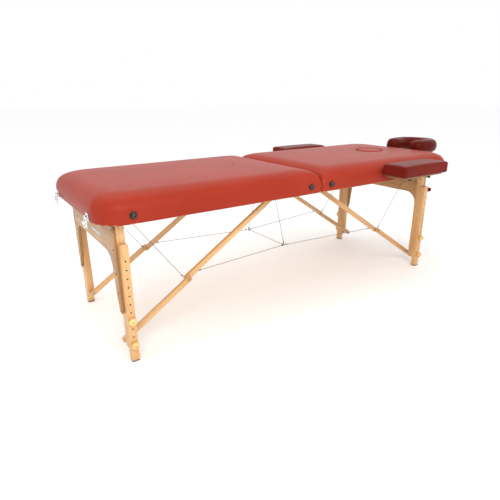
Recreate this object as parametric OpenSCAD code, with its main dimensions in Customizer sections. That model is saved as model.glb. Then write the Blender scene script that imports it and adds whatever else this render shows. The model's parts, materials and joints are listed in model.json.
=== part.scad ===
// Folding two-section treatment table: padded panels on wooden trays, two folding leg frames with
// telescopic feet, folding wooden braces held by steel cables, face cradle and arm supports.
// X runs along the table towards the head end, Y across it (near side negative), Z up from the floor.
// The origin is on the floor, midway between the latches on the foot end and the cradle's tip.

/* [Panels] */
// Half of the table's length, from the centre fold to an end
half_length = 925; // [850:1:1000]
// Half of the table's width over the upholstery
half_width = 335; // [280:1:380]
// Height of the padded top above the floor, feet fully in
top_z = 613; // [580:1:700]
// Height of the panels' underside
under_z = 517; // [480:1:600]
// Plan radius of the outer corners
corner_r = 100; // [30:1:100]
// Plan radius of the corners beside the centre fold
fold_corner_r = 10; // [4:1:30]
// Thickness of the padded cover on the rails
wrap_t = 4; // [2:0.5:8]
// Thickness of the plywood deck
deck_t = 5; // [4:0.5:9]
// Depth of the wooden rails under the deck
rail_h = 40; // [30:1:60]
// Thickness of the wooden rails
rail_t = 14; // [10:1:22]
// Gap between the two panels at the fold
fold_gap = 1; // [0.5:0.5:4]

/* [Leg frames] */
// Distance of the foot legs' pivot from the centre fold
foot_pivot_x = 843.5; // [700:0.5:880]
// Distance of the head legs' pivot from the centre fold
head_pivot_x = 771.5; // [700:0.5:880]
// Width of the posts, seen from the side
post_w = 28; // [22:1:45]
// Distance from the centre line to the posts' inner face
post_in = 251; // [200:1:300]
// Distance from the centre line to the extensions' outer face
leg_out = 302; // [240:1:330]
// Thickness of the extension legs
ext_t = 24; // [16:1:30]
// Height of the extension legs' top above the floor
ext_top = 445; // [380:1:480]
// Height of the lower clamp bolt above the floor
bolt_z = 68; // [50:1:90]
// Distance between the height holes
hole_pitch = 31.8; // [20:0.1:40]
// Number of height holes
hole_count = 11; // [6:1:14]
// Thickness of the plywood end plates
plate_t = 10; // [6:1:15]
// Diameter of the wooden clamp knobs
knob_d = 29; // [20:1:29]

/* [Braces and cables] */
// Distance from the leg pivot to the upper brace pivot
brace_reach = 741.5; // [600:0.5:800]
// Height of the lower brace pivot above the floor
brace_z = 63; // [50:1:120]
// Height of the brace struts' section
strut_h = 20; // [14:1:30]
// Thickness of the brace struts
strut_t = 14; // [8:1:20]
// Gap between the posts' inner face and the lower struts
brace_gap = 17.5; // [2:0.5:25]
// Diameter of the steel cables
cable_d = 2.4; // [1.5:0.1:5]

/* [Head end and arm supports] */
// Distance of the face hole from the centre fold
face_x = 655; // [550:1:750]
// Radius of the face hole
face_r = 68; // [55:1:80]
// Distance from the centre line to the arm pads' outer edge
arm_out = 478; // [430:1:520]

/* [Part shown] */
// Which sub-part is drawn

/* [Hidden] */
$fn = 48;
eps = 0.01;
deck_z = under_z + rail_h;
foam_z = deck_z + deck_t;
pivot_z = under_z + rail_h / 2 + 5;
rail_out = half_width - wrap_t;
rail_in = rail_out - rail_t;
post_out = leg_out - ext_t - 0.3;
bolt_rise = 3 * hole_pitch;
leg_drop = pivot_z - brace_z;
brace_len = norm([brace_reach, leg_drop]);
lower_len = (brace_len - (brace_reach - leg_drop)) / 2;
upper_len = brace_len - lower_len;
brace_tilt = atan2(leg_drop, brace_reach);
joint_x = lower_len * cos(brace_tilt);
joint_z = brace_z + lower_len * sin(brace_tilt);
lower_in = post_in - brace_gap - strut_t;
upper_in = lower_in - 2.5 - strut_t;
cable_y = upper_in + strut_t / 2;
fold_z = under_z - 4;
net_x = -50;
net_y = 148;
net_z = 243;
rod_z = under_z + 20;
tilt_x = half_length + 60;
cradle_tip = tilt_x + 180;
mid_x = (cradle_tip - half_length - 17) / 2;
pin_r = 3;
run = 0.06;

wood = [0.90, 0.72, 0.46];
ply = [0.82, 0.62, 0.36];
vinyl = [0.70, 0.25, 0.20];
dark_vinyl = [0.50, 0.15, 0.13];
steel = [0.75, 0.75, 0.77];
black = [0.09, 0.09, 0.10];

// ---- placing helpers ----

// The drawing's x = 0 is the centre fold; this moves the middle of the whole table to the origin
module place() {
    translate([-mid_x, 0, 0]) children();
}

// Near and far copies of what is drawn on the far side
module both_sides() {
    children();
    mirror([0, 1, 0]) children();
}

module near_side() {
    mirror([0, 1, 0]) children();
}

// A panel is drawn from the fold at x = 0 to its end at +x
module foot_panel() {
    mirror([1, 0, 0]) children();
}

// A leg frame is drawn with its pivot at x = 0 and the table's centre towards +x
module foot_end() {
    translate([-foot_pivot_x, 0, 0]) children();
}

module head_end() {
    translate([head_pivot_x, 0, 0]) mirror([1, 0, 0]) children();
}

// A cylinder along +Y from y0 to y1
module y_rod(x, z, r, y0, y1) {
    translate([x, y0, z]) rotate([-90, 0, 0]) cylinder(r = r, h = y1 - y0);
}

// A cylinder along +X from x0 to x1
module x_rod(y, z, r, x0, x1) {
    translate([x0, y, z]) rotate([0, 90, 0]) cylinder(r = r, h = x1 - x0);
}

// A straight cable from a to b
module cable(a, b) {
    d = b - a;
    translate(a) rotate([0, acos(d.z / norm(d)), atan2(d.y, d.x)])
        cylinder(d = cable_d, h = norm(d), $fn = 16);
}

module box(low, high) {
    translate(low) cube(high - low);
}

// ---- panels ----

module panel_outline(inset) {
    hull() for (s = [-1, 1]) {
        translate([half_length - corner_r, s * (half_width - corner_r)])
            circle(r = corner_r - inset);
        translate([fold_gap / 2 + fold_corner_r, s * (half_width - fold_corner_r)])
            circle(r = fold_corner_r - inset);
    }
}

module cushion() {
    color(vinyl) hull() {
        translate([0, 0, foam_z]) linear_extrude(top_z - foam_z - 22) panel_outline(0);
        translate([0, 0, foam_z]) linear_extrude(top_z - foam_z - 9) panel_outline(4);
        translate([0, 0, foam_z]) linear_extrude(top_z - foam_z) panel_outline(9.5);
    }
}

module cushion_with_face_hole() {
    color(vinyl) difference() {
        cushion();
        translate([face_x, 0, foam_z - 1]) cylinder(r = face_r, h = top_z);
    }
}

// The cover wrapped down over the rails to the underside
module side_wrap() {
    color(vinyl) difference() {
        translate([0, 0, under_z]) linear_extrude(foam_z - under_z) difference() {
            panel_outline(0);
            panel_outline(wrap_t);
        }
        children();
    }
}

module deck() {
    color(ply) difference() {
        translate([0, 0, deck_z]) linear_extrude(deck_t) panel_outline(wrap_t);
        children();
    }
}

// Side rails, fold rail, end rail with rounded corner pieces, and a cross bearer
module rails(knob_xs) {
    inner_end = half_length - wrap_t - rail_t;
    fold_side = fold_gap / 2 + fold_corner_r;
    color(wood) difference() {
        translate([0, 0, under_z]) linear_extrude(rail_h) {
            for (s = [-1, 1]) {
                translate([fold_side, s > 0 ? rail_in : -rail_out])
                    square([half_length - corner_r - fold_side, rail_t]);
                intersection() {
                    translate([half_length - corner_r, s * (half_width - corner_r)])
                        difference() {
                            circle(r = corner_r - wrap_t - 0.3);
                            circle(r = corner_r - rail_t);
                        }
                    translate([half_length - corner_r + 0.3,
                        s > 0 ? half_width - corner_r : -half_width])
                        square([corner_r, corner_r]);
                }
            }
            translate([inner_end, -half_width + corner_r + 0.3])
                square([rail_t, 2 * (half_width - corner_r - 0.3)]);
            translate([fold_gap / 2 + wrap_t, -rail_in + 0.3])
                square([12, 2 * (rail_in - 0.3)]);
        }
        for (x = knob_xs, s = [-1, 1])
            translate([x - 18, s * (rail_in + 2.5) - 5, under_z - 1]) cube([36, 10, rail_h + 2]);
        children();
    }
    color(wood) box([455, -190, deck_z - 22], [475, 190, deck_z]);
}

// Blocks that carry the leg pivots and the upper brace pivots
module pivot_blocks(leg_x, brace_x) {
    color(wood) both_sides() {
        difference() {
            box([leg_x - 19, post_out + 0.3, under_z + 3], [leg_x + 19, rail_in - 6, deck_z]);
            y_rod(leg_x, pivot_z, 4.02, post_out, rail_in - 7.9);
        }
        difference() {
            box([brace_x - 12, upper_in - 20, deck_z - 28], [brace_x + 12, upper_in - 0.4, deck_z]);
            y_rod(brace_x, pivot_z, pin_r + 0.02, upper_in - 15.1, upper_in);
        }
    }
}

module pivot_pins(leg_x, brace_x) {
    color(steel) both_sides() {
        y_rod(leg_x, pivot_z, 4, post_in - 1, rail_in - 8);
        y_rod(leg_x, pivot_z, 7, post_in - 3.5, post_in - 0.3);
        y_rod(brace_x, pivot_z, pin_r, upper_in - 15, upper_in + strut_t + 1);
        y_rod(brace_x, pivot_z, 5.5, upper_in + strut_t + 0.4, upper_in + strut_t + 2.2);
    }
}

module bumpers(xs) {
    color(black) for (x = xs) translate([x, -half_width, 546]) rotate([90, 0, 0])
        rotate_extrude()
            polygon([[0, 0], [12, 0], [12, 3], [11.2, 6], [9, 9], [6, 10.8], [3, 11.7], [0, 12]]);
}

// A carrying strap that stands out in a flat arch on the far side
module handle() {
    c = 250;
    color(black) translate([0, half_width, 530]) linear_extrude(24) difference() {
        polygon([[c - 78, 0], [c + 78, 0], [c + 78, 3], [c + 60, 5], [c + 44, 24], [c + 28, 32],
            [c - 28, 32], [c - 44, 24], [c - 60, 5], [c - 78, 3]]);
        polygon([[c + 52, -1], [c + 40, 20], [c + 26, 27.5], [c - 26, 27.5], [c - 40, 20], [c - 52, -1]]);
    }
}

// ---- centre fold hinges ----

hinge_ys = [-230, 0, 230];

module hinge_leaf(knuckles) {
    color(steel) difference() {
        union() {
            for (y = hinge_ys) {
                box([3.6, y - 30, under_z - 1.6], [31, y + 30, under_z]);
                for (k = knuckles) {
                    y_rod(0, fold_z, 4, y + k[0], y + k[1]);
                    box([0, y + k[0], under_z - 1.6], [4, y + k[1], under_z - 0.4]);
                }
            }
        }
        for (y = hinge_ys) {
            y_rod(0, fold_z, 2 + run, y - 40, y + 40);
            if (len(knuckles) == 1) {
                box([-5, y - 31, fold_z - 5], [4.5, y + knuckles[0][0], under_z + 1]);
                box([-5, y + knuckles[0][1], fold_z - 5], [4.5, y + 31, under_z + 1]);
            } else box([-5, y + knuckles[0][1], fold_z - 5], [4.5, y + knuckles[1][0], under_z + 1]);
        }
    }
}

module foot_hinge_leaves() {
    foot_panel() hinge_leaf([[-30, -10.2], [10.2, 30]]);
    color(steel) for (y = hinge_ys) y_rod(0, fold_z, 2, y - 30, y + 30);
}

module head_hinge_leaves() {
    hinge_leaf([[-10, 10]]);
}

// ---- latches on the foot end ----

latch_x = -half_length;
latch_z = 531;

module latch_bases() {
    color(steel) for (y = [-215, 215]) difference() {
        union() {
            box([latch_x - 2, y - 16, 518], [latch_x, y + 16, 547]);
            for (s = [-1, 1]) {
                y_rod(latch_x - 6, latch_z, 5, y + s * 14.5 - 1.5, y + s * 14.5 + 1.5);
                box([latch_x - 6, y + s * 14.5 - 1.5, latch_z - 5],
                    [latch_x - 1, y + s * 14.5 + 1.5, latch_z + 5]);
            }
        }
        y_rod(latch_x - 6, latch_z, 2, y - 20, y + 20);
    }
}

module latch_levers() {
    color(steel) for (y = [-215, 215]) {
        y_rod(latch_x - 6, latch_z, 2 - run, y - 16, y + 16);
        y_rod(latch_x - 6, latch_z, 3.4, y - 12.5, y + 12.5);
        box([latch_x - 9.4, y - 12.5, latch_z - 34], [latch_x - 7.4, y + 12.5, latch_z]);
        box([latch_x - 17, y - 9, latch_z - 13], [latch_x - 9.4, y + 9, latch_z - 9]);
        box([latch_x - 17, y - 9, latch_z - 22], [latch_x - 14, y + 9, latch_z - 9]);
    }
}

// ---- leg frames, drawn with the pivot at x = 0 ----

module posts() {
    color(wood) both_sides() difference() {
        union() {
            box([-post_w / 2, post_in, 48], [post_w / 2, post_out, pivot_z]);
            y_rod(0, pivot_z, post_w / 2, post_in, post_out);
        }
        y_rod(0, pivot_z, 4 + run, post_in - 1, post_out + 1);
        for (z = [bolt_z, bolt_z + bolt_rise]) y_rod(0, z, pin_r + 0.02, 262.9, post_out + 1);
        y_rod(0, brace_z, pin_r + 0.02, post_in - 1, 261.1);
    }
}

module plate_opening() {
    hull() {
        translate([-172, 338]) circle(r = 60);
        translate([172, 338]) circle(r = 60);
        translate([-244, 237]) square([488, 1]);
    }
    polygon([[-244.5, 240], [244.5, 240], [258, 193], [276, 168],
        [300, 120], [-300, 120], [-276, 168], [-258, 193]]);
}

module end_plate() {
    color(ply) translate([-post_w / 2 - plate_t, 0, 0]) rotate([90, 0, 90]) linear_extrude(plate_t)
        offset(r = 9) offset(delta = -9) difference() {
            polygon([[-post_out, 157], [post_out, 157], [post_out, 470], [266, 511],
                [-266, 511], [-post_out, 470]]);
            plate_opening();
        }
}

// Clamp bolts that stop short of the extensions' outer web, and the lower brace pins
module leg_bolts() {
    color(steel) both_sides() {
        for (z = [bolt_z, bolt_z + bolt_rise]) y_rod(0, z, pin_r, 263, leg_out - 6.5);
        y_rod(0, brace_z, pin_r, lower_in - 2, 261);
        y_rod(0, brace_z, 6, lower_in - 2, lower_in - 0.4);
        y_rod(0, brace_z, 6, lower_in + strut_t + 0.4, post_in - 0.2);
    }
}

// Extension leg with its row of height holes and a groove inside for the clamp bolts
module extension() {
    low_y = leg_out - ext_t;
    color(wood) difference() {
        union() {
            box([-post_w / 2 + 0.3, low_y, 5], [post_w / 2, leg_out, ext_top - 5]);
            box([-post_w / 2 + 5.3, low_y, 5], [post_w / 2 - 5, leg_out, ext_top]);
            for (x = [-post_w / 2 + 5.3, post_w / 2 - 5]) y_rod(x, ext_top - 5, 5, low_y, leg_out);
        }
        box([-3.5, low_y - 1, bolt_z - 8], [3.5, leg_out - 6, bolt_z + hole_count * hole_pitch - 22]);
        for (i = [0 : hole_count - 1]) y_rod(0, bolt_z + i * hole_pitch, 2.6, leg_out - 7, leg_out + 1);
    }
}

module rubber_pad() {
    color(black) box([-post_w / 2 + 0.3, leg_out - ext_t, 0], [post_w / 2, leg_out, 5]);
}

module knob(z) {
    r = knob_d / 2;
    color(wood) translate([0, leg_out + 0.3, z]) rotate([-90, 0, 0]) rotate_extrude()
        polygon([[0, 8], [3, 8], [3, 0], [r - 4, 0], [r - 2.5, 1.5], [r - 0.6, 5], [r, 8], [r, 11],
            [r - 1.2, 14.5], [r - 4, 17.5], [r - 7.5, 18.8], [0, 19]]);
}

// ---- folding braces ----

// A strut in the X-Z plane from a to b, at y0 to y0 + strut_t, with holes at both ends
module strut(a, b, y0, past_a, past_b) {
    d = b - a;
    color(wood) difference() {
        translate([a.x, y0, a.y]) rotate([0, -atan2(d.y, d.x), 0]) {
            box([-past_a, 0, -strut_h / 2], [norm(d) + past_b - strut_h / 2, strut_t, strut_h / 2]);
            y_rod(norm(d) + past_b - strut_h / 2, 0, strut_h / 2, 0, strut_t);
            y_rod(-past_a, 0, strut_h / 2, 0, strut_t);
        }
        for (p = [a, b]) y_rod(p.x, p.y, pin_r + run, y0 - 1, y0 + strut_t + 1);
    }
}

module lower_struts() {
    both_sides() {
        strut([0, brace_z], [joint_x, joint_z], lower_in, 12, 14);
        color(steel) y_rod(joint_x, joint_z, pin_r, lower_in, lower_in + strut_t + 2);
        color(steel) y_rod(joint_x, joint_z, 5.5, lower_in + strut_t + 0.1, lower_in + strut_t + 2.4);
    }
}

module upper_struts() {
    both_sides() {
        strut([joint_x, joint_z], [brace_reach, pivot_z], upper_in, 1, 12);
        color(steel) y_rod(joint_x, joint_z, pin_r, upper_in, upper_in + strut_t);
        color(steel) y_rod(joint_x, joint_z, 5.5, upper_in - 2.4, upper_in - 0.1);
    }
}

// ---- cables ----

// The point d along the upper strut from the brace joint and e below its centre line
function on_strut(d, e) = [joint_x + d * cos(brace_tilt) + e * sin(brace_tilt), cable_y,
    joint_z + d * sin(brace_tilt) - e * cos(brace_tilt)];

module brace_cables(net_far) {
    color(steel) both_sides() {
        a = on_strut(52, strut_h / 2 + 3);
        b = [net_far, net_y, net_z];
        cable(a, b - 7 * (b - a) / norm(b - a));
    }
}

module stay_cables() {
    color(steel) both_sides() cable([18, cable_y, deck_z - 6], on_strut(-8, -strut_h / 2 - 3));
}

module centre_cables() {
    color(steel) {
        cable([net_x, -net_y, net_z], [net_x, net_y, net_z]);
        both_sides() {
            cable([net_x, 55, under_z - 2], [net_x, net_y, net_z]);
            translate([net_x, net_y, net_z]) sphere(r = 4, $fn = 24);
        }
    }
}

// ---- face cradle and sling ----

module cradle_outline(inset) {
    offset(r = 14) offset(delta = -14 - inset) difference() {
        hull() {
            translate([cradle_tip - 125, 0]) circle(r = 125);
            for (s = [-1, 1]) translate([tilt_x + 4, s * 87]) circle(r = 46);
        }
        hull() {
            translate([tilt_x + 55, 0]) circle(r = 48);
            translate([tilt_x, 0]) circle(r = 38);
        }
        translate([tilt_x - 80, -36]) square([90, 72]);
    }
}

module cradle_posts() {
    color(steel) {
        for (y = [-100, 100]) x_rod(y, rod_z, 7, 835, tilt_x - 1);
        y_rod(tilt_x, rod_z, 8, -108, 108);
    }
}

module cradle_platform() {
    color(ply) difference() {
        union() {
            translate([0, 0, 567]) linear_extrude(9) cradle_outline(16);
            for (s = [-1, 1]) {
                box([tilt_x - 13, s * 58 - 7, rod_z], [tilt_x + 13, s * 58 + 7, 568]);
                y_rod(tilt_x, rod_z, 13, s * 58 - 7, s * 58 + 7);
            }
        }
        y_rod(tilt_x, rod_z, 8 + run, -120, 120);
    }
}

module cradle_cushion() {
    color(dark_vinyl) {
        translate([0, 0, 576.2]) linear_extrude(62) cradle_outline(0);
        translate([0, 0, 638.1]) linear_extrude(14) cradle_outline(10);
    }
}

// A padded shelf hung from the cradle's cross tube by two looped straps
module arm_sling() {
    color(dark_vinyl) difference() {
        union() {
            box([tilt_x - 50, -165, 360], [tilt_x + 50, 165, 384]);
            for (s = [-1, 1]) {
                box([tilt_x - 2, s * 80 - 7, 384], [tilt_x + 2, s * 80 + 7, rod_z - 9]);
                y_rod(tilt_x, rod_z, 10.5, s * 80 - 7, s * 80 + 7);
            }
        }
        y_rod(tilt_x, rod_z, 8 + run, -120, 120);
    }
}

// ---- arm supports ----

arm_x = [347, 657];

module arm_pad() {
    color(dark_vinyl) box([arm_x[0], half_width + 14, 554.2], [arm_x[1], arm_out, 606]);
}

module arm_frame() {
    color(ply) {
        box([arm_x[0] + 18, half_width + 26, 547], [arm_x[1] - 18, arm_out - 20, 554]);
        for (x = [440, 580]) box([x - 11, half_width + 40, rod_z], [x + 11, arm_out - 48, 547.5]);
    }
    color(steel) for (x = [440, 580]) y_rod(x, rod_z, 6, rail_in - 1, arm_out - 40);
}

module arm_sockets() {
    for (x = [440, 580]) both_sides() y_rod(x, rod_z, 6 + run, rail_in - 1, half_width + 1);
}

module cradle_sockets() {
    for (y = [-100, 100]) x_rod(y, rod_z, 7 + run, half_length - 40, half_length + 1);
}

module head_sockets() {
    arm_sockets();
    cradle_sockets();
}

module plug_bore() {
    translate([face_x, 0, deck_z - 5]) cylinder(r = face_r - 8, h = 20);
}

module face_hole_plug() {
    color(vinyl) {
        translate([face_x, 0, foam_z + 0.3]) cylinder(r = face_r - 1, h = top_z - foam_z - 1);
        translate([face_x, 0, deck_z - 2]) cylinder(r = face_r - 9, h = deck_t + 3);
    }
}

// ---- assembly ----

foot_brace_x = -foot_pivot_x + brace_reach;
head_brace_x = head_pivot_x - brace_reach;
// Where the folded knobs sit along each panel
function knob_rests(pivot) = [for (z = [bolt_z, bolt_z + bolt_rise]) pivot - (pivot_z - z)];

place() foot_panel() cushion();  // foot_cushion
place() foot_panel() side_wrap();  // foot_side_wrap
place() foot_panel() deck();  // foot_deck
place() foot_panel() rails(knob_rests(foot_pivot_x));  // foot_rails
place() pivot_blocks(-foot_pivot_x, foot_brace_x);  // foot_pivot_blocks
place() pivot_pins(-foot_pivot_x, foot_brace_x);  // foot_pivot_pins
place() bumpers([-812, -62]);  // foot_bumpers
place() foot_panel() handle();  // foot_handle
place() foot_hinge_leaves();
place() latch_bases();
place() latch_levers();
place() cushion_with_face_hole();  // head_cushion
place() side_wrap() head_sockets();  // head_side_wrap
place() deck() plug_bore();  // head_deck
place() rails(knob_rests(head_pivot_x)) head_sockets();  // head_rails
place() pivot_blocks(head_pivot_x, head_brace_x);  // head_pivot_blocks
place() pivot_pins(head_pivot_x, head_brace_x);  // head_pivot_pins
place() bumpers([52, 790]);  // head_bumpers
place() handle();  // head_handle
place() head_hinge_leaves();
place() face_hole_plug();
place() foot_end() posts();  // foot_posts
place() foot_end() end_plate();  // foot_end_plate
place() foot_end() leg_bolts();  // foot_leg_bolts
place() head_end() posts();  // head_posts
place() head_end() end_plate();  // head_end_plate
place() head_end() leg_bolts();  // head_leg_bolts
place() foot_end() near_side() extension();  // foot_near_extension
place() foot_end() extension();  // foot_far_extension
place() head_end() near_side() extension();  // head_near_extension
place() head_end() extension();  // head_far_extension
place() foot_end() near_side() rubber_pad();  // foot_near_pad
place() foot_end() rubber_pad();  // foot_far_pad
place() head_end() near_side() rubber_pad();  // head_near_pad
place() head_end() rubber_pad();  // head_far_pad
place() foot_end() near_side() knob(bolt_z + bolt_rise);  // foot_near_upper_knob
place() foot_end() near_side() knob(bolt_z);  // foot_near_lower_knob
place() foot_end() knob(bolt_z + bolt_rise);  // foot_far_upper_knob
place() foot_end() knob(bolt_z);  // foot_far_lower_knob
place() head_end() near_side() knob(bolt_z + bolt_rise);  // head_near_upper_knob
place() head_end() near_side() knob(bolt_z);  // head_near_lower_knob
place() head_end() knob(bolt_z + bolt_rise);  // head_far_upper_knob
place() head_end() knob(bolt_z);  // head_far_lower_knob
place() foot_end() lower_struts();  // foot_lower_struts
place() foot_end() upper_struts();  // foot_upper_struts
place() head_end() lower_struts();  // head_lower_struts
place() head_end() upper_struts();  // head_upper_struts
place() foot_end() brace_cables(foot_pivot_x + net_x);  // foot_brace_cables
place() head_end() brace_cables(head_pivot_x - net_x);  // head_brace_cables
place() foot_end() stay_cables();  // foot_stay_cables
place() head_end() stay_cables();  // head_stay_cables
place() centre_cables();
place() cradle_posts();
place() cradle_platform();
place() cradle_cushion();
place() arm_sling();
place() near_side() arm_pad();  // near_arm_pad
place() near_side() arm_frame();  // near_arm_frame
place() arm_pad();  // far_arm_pad
place() arm_frame();  // far_arm_frame
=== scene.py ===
import bpy
import bmesh
import json
import math
from mathutils import Matrix, Vector, noise


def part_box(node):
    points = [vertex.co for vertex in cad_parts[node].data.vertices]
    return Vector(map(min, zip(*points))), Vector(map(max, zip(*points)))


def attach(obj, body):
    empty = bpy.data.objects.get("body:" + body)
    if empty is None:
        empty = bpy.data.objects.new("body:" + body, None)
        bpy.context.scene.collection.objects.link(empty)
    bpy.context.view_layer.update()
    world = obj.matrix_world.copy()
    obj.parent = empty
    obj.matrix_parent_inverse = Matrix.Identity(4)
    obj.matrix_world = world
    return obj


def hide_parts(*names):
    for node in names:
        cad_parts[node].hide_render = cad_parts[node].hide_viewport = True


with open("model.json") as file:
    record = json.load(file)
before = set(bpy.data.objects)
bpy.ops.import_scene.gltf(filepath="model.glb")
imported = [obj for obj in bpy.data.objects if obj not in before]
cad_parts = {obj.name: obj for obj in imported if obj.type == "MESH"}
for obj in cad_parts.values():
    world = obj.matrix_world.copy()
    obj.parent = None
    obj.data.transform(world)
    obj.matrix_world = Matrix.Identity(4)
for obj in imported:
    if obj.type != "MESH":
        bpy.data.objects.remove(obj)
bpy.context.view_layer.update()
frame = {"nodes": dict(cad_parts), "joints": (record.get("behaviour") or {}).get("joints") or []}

MM = 0.001
node = frame["nodes"]
joint = {j["name"]: j for j in frame["joints"]}


# Everything below is measured from the centre fold, and make() moves it to its place in the frame.
SHIFT = Vector((joint["centre_fold"]["pos_m"][0], 0, 0))


def pivot(name):
    return Vector(joint[name]["pos_m"]) - SHIFT


def box(name):
    return [Vector(p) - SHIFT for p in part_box(name)]


FOOT_X, PIVOT_Z = pivot("foot_leg_fold").x, pivot("foot_leg_fold").z
HEAD_X = pivot("head_leg_fold").x
ENDS = ("foot", "head")
SIDES = (("near", -1), ("far", 1))
Z_UNDER = box("foot_rails")[0].z
Z_DECK = box("foot_deck")[0].z
Z_FOAM = box("foot_cushion")[0].z
Z_TOP = box("foot_cushion")[1].z
HALF_L = box("head_cushion")[1].x
HALF_W = box("head_cushion")[1].y
FOLD_X = box("head_cushion")[0].x


def leg_x(end, local):
    """Row X of a distance from the leg pivot towards the table's middle."""
    return FOOT_X + local if end == "foot" else HEAD_X - local


# ---------------------------------------------------------------- camera

def make_camera():
    yaw, pitch, roll = math.radians(34.1486), math.radians(-19.8533), math.radians(-0.3034)
    fwd = Vector((math.sin(yaw) * math.cos(pitch), math.cos(yaw) * math.cos(pitch), math.sin(pitch)))
    right = fwd.cross(Vector((0, 0, 1))).normalized()
    up = right.cross(fwd)
    r2 = right * math.cos(roll) + up * math.sin(roll)
    u2 = up * math.cos(roll) - right * math.sin(roll)
    data = bpy.data.cameras.new("camera")
    data.sensor_width = 36
    data.lens = 434.40 / 500 * 36
    cam = bpy.data.objects.new("camera", data)
    m = Matrix((r2, u2, -fwd)).transposed().to_4x4()
    m.translation = Vector((-1.2547, -1.6422, 0.9085)) + SHIFT
    cam.matrix_world = m
    bpy.context.scene.collection.objects.link(cam)
    bpy.context.scene.camera = cam


make_camera()

# ---------------------------------------------------------------- materials

def lin(r, g, b):
    def f(c):
        c /= 255
        return c / 12.92 if c <= 0.04045 else ((c + 0.055) / 1.055) ** 2.4
    return (f(r), f(g), f(b), 1)


class Shade:
    """A node tree with short calls for the nodes the materials use."""

    def __init__(self, name):
        self.mat = bpy.data.materials.new(name)
        self.mat.use_nodes = True
        self.t = self.mat.node_tree
        self.b = self.t.nodes["Principled BSDF"]
        self.co = self.t.nodes.new("ShaderNodeTexCoord").outputs["Object"]

    def new(self, kind, **props):
        n = self.t.nodes.new(kind)
        for k, v in props.items():
            setattr(n, k, v)
        return n

    def link(self, a, b):
        self.t.links.new(a, b)

    def mapped(self, rot=(0, 0, 0), scale=(1, 1, 1), vec=None):
        turn = self.new("ShaderNodeMapping")
        turn.inputs["Rotation"].default_value = rot
        self.link(vec or self.co, turn.inputs["Vector"])
        size = self.new("ShaderNodeMapping")
        size.inputs["Scale"].default_value = scale
        self.link(turn.outputs[0], size.inputs["Vector"])
        return size.outputs[0]

    def noise(self, vec, scale, detail=4, rough=0.55, distortion=0.0):
        n = self.new("ShaderNodeTexNoise")
        n.inputs["Scale"].default_value = scale
        n.inputs["Detail"].default_value = detail
        n.inputs["Roughness"].default_value = rough
        n.inputs["Distortion"].default_value = distortion
        self.link(vec, n.inputs["Vector"])
        return n.outputs[0]

    def voronoi(self, vec, scale, feature="F1"):
        n = self.new("ShaderNodeTexVoronoi", feature=feature)
        n.inputs["Scale"].default_value = scale
        self.link(vec, n.inputs["Vector"])
        return n.outputs["Distance"]

    def ramp(self, fac, stops):
        n = self.new("ShaderNodeValToRGB")
        e = n.color_ramp.elements
        while len(e) < len(stops):
            e.new(0.5)
        for el, (p, c) in zip(e, stops):
            el.position, el.color = p, c
        self.link(fac, n.inputs["Fac"])
        return n.outputs["Color"]

    def span(self, fac, a, b, lo, hi):
        n = self.new("ShaderNodeMapRange")
        for k, v in zip(("From Min", "From Max", "To Min", "To Max"), (a, b, lo, hi)):
            n.inputs[k].default_value = v
        self.link(fac, n.inputs["Value"])
        return n.outputs[0]

    def mix(self, fac, a, b, blend="MIX"):
        n = self.new("ShaderNodeMix", data_type="RGBA", blend_type=blend)
        for sock, v in ((n.inputs[0], fac), (n.inputs[6], a), (n.inputs[7], b)):
            if hasattr(v, "is_output"):
                self.link(v, sock)
            else:
                sock.default_value = v
        return n.outputs[2]

    def calc(self, op, a, b=0.0):
        n = self.new("ShaderNodeMath", operation=op)
        for sock, v in zip(n.inputs, (a, b)):
            if hasattr(v, "is_output"):
                self.link(v, sock)
            else:
                sock.default_value = v
        return n.outputs[0]

    def bump(self, *layers):
        last = None
        for height, strength, dist in layers:
            n = self.new("ShaderNodeBump")
            n.inputs["Strength"].default_value = strength
            n.inputs["Distance"].default_value = dist
            self.link(height, n.inputs["Height"])
            if last:
                self.link(last, n.inputs["Normal"])
            last = n.outputs[0]
        self.link(last, self.b.inputs["Normal"])

    def out(self, color=None, rough=None, **fixed):
        if color is not None:
            self.link(color, self.b.inputs["Base Color"])
        if rough is not None:
            self.link(rough, self.b.inputs["Roughness"])
        for k, v in fixed.items():
            self.b.inputs[k.replace("_", " ")].default_value = v
        return self.mat


def leather(name, base, deep, light):
    s = Shade(name)
    cloud = s.noise(s.co, 3.5, 3)
    patch = s.noise(s.co, 38, 5, 0.6)
    col = s.ramp(cloud, [(0.25, deep), (0.5, base), (0.8, light)])
    col = s.mix(s.span(patch, 0.4, 0.7, 0.0, 0.10), col, deep)
    grain = s.voronoi(s.co, 520)
    fine = s.voronoi(s.co, 1150, "DISTANCE_TO_EDGE")
    col = s.mix(s.span(grain, 0.0, 0.6, 0.0, 0.16), col, light)
    rough = s.span(s.noise(s.co, 60, 4), 0.3, 0.7, 0.31, 0.38)
    s.bump((grain, 0.16, 0.0003), (fine, 0.14, 0.0002))
    return s.out(col, rough, Specular_IOR_Level=0.08, Specular_Tint=(1.0, 0.84, 0.74, 1.0))


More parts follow.
